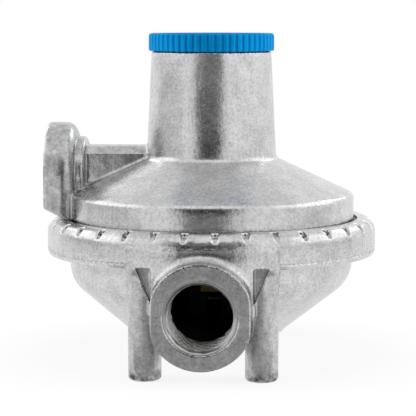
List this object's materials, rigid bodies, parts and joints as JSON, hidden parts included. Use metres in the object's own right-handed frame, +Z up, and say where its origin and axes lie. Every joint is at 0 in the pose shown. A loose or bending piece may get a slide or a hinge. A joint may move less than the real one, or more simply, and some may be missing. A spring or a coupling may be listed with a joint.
{
  "type": "low-pressure gas regulator",
  "caption": "Small die-cast propane regulator: round diaphragm case on feet, spring tower with a fluted cap, side vent, threaded inlet and outlet in line.",
  "frame": {"origin": "on the floor that the feet stand on, below the middle of the case, on the diaphragm's axis", "axes": "+Z up along the diaphragm's axis, -Y out of the outlet, +Y out of the inlet, -X out of the vent"},
  "size_m": [0.0826, 0.0926, 0.0813],
  "materials": {
    "cast_body": "satin as-cast zinc alloy, tumbled",
    "cast_bonnet": "satin as-cast zinc alloy, tumbled",
    "cap_plastic": "moulded blue plastic",
    "black_rubber": "nitrile rubber, matte",
    "diaphragm_rubber": "fabric-backed rubber",
    "brass": "turned brass",
    "plated_steel": "zinc-plated pressed steel",
    "spring_steel": "drawn spring wire",
    "screen_steel": "woven stainless screen",
    "white_plastic": "moulded acetal"
  },
  "bodies": {
    "housing": {"body_casting": "cast_body", "bonnet_casting": "cast_bonnet", "vent_screen": "screen_steel", "vent_ring": "spring_steel", "diaphragm": "diaphragm_rubber", "main_spring": "spring_steel", "inlet_orifice": "brass", "lever_pin": "spring_steel"},
    "pusher": {"pusher_post": "brass", "relief_seat": "plated_steel", "relief_nut": "plated_steel", "relief_spring": "spring_steel"},
    "plate": {"diaphragm_plate": "plated_steel"},
    "lever": {"lever": "plated_steel"},
    "valve": {"disc_holder": "brass", "valve_disc": "black_rubber"},
    "spring_seat": {"upper_spring_seat": "plated_steel"},
    "adjuster": {"adjusting_screw": "white_plastic"},
    "gasket": {"cap_gasket": "black_rubber"},
    "cap": {"closing_cap": "cap_plastic"}
  },
  "joints": [
    {"name": "pusher_lift", "type": "slide", "parent": "housing", "child": "pusher", "axis": [0, 0, 1], "range_m": [0, 0.002], "stiffness_N_per_m": 500, "springref_m": -0.008, "deforming": ["main_spring", "diaphragm"]},
    {"name": "relief_lift", "type": "slide", "parent": "pusher", "child": "plate", "axis": [0, 0, 1], "range_m": [0, 0.0015], "stiffness_N_per_m": 3000, "springref_m": -0.003, "deforming": ["relief_spring"]},
    {"name": "lever_swing", "type": "hinge", "parent": "housing", "child": "lever", "pos_m": [0, 0.018, 0.0116], "axis": [1, 0, 0], "range_deg": [-6.3, 0]},
    {"name": "valve_slide", "type": "slide", "parent": "housing", "child": "valve", "axis": [0, 1, 0], "range_m": [0, 0.00056]},
    {"name": "spring_seat_travel", "type": "slide", "parent": "housing", "child": "spring_seat", "axis": [0, 0, -1], "range_m": [-0.0024, 0.0032]},
    {"name": "adjuster_turn", "type": "hinge", "parent": "spring_seat", "child": "adjuster", "pos_m": [0, 0, 0.0636], "axis": [0, 0, -1], "range_deg": [-540, 720]},
    {"name": "gasket_rise", "type": "slide", "parent": "housing", "child": "gasket", "axis": [0, 0, 1], "range_m": [0, 0.0062]},
    {"name": "cap_turn", "type": "hinge", "parent": "gasket", "child": "cap", "pos_m": [0, 0, 0.077], "axis": [0, 0, 1], "range_deg": [0, 1440]}
  ],
  "couplings": [
    {"joint": "lever_swing", "follows": "pusher_lift", "rad_per_m": -53.36},
    {"joint": "valve_slide", "follows": "pusher_lift", "ratio": 0.2636},
    {"joint": "spring_seat_travel", "follows": "adjuster_turn", "m_per_rad": 0.00023873},
    {"joint": "gasket_rise", "follows": "cap_turn", "m_per_rad": 0.00023873}
  ]
}
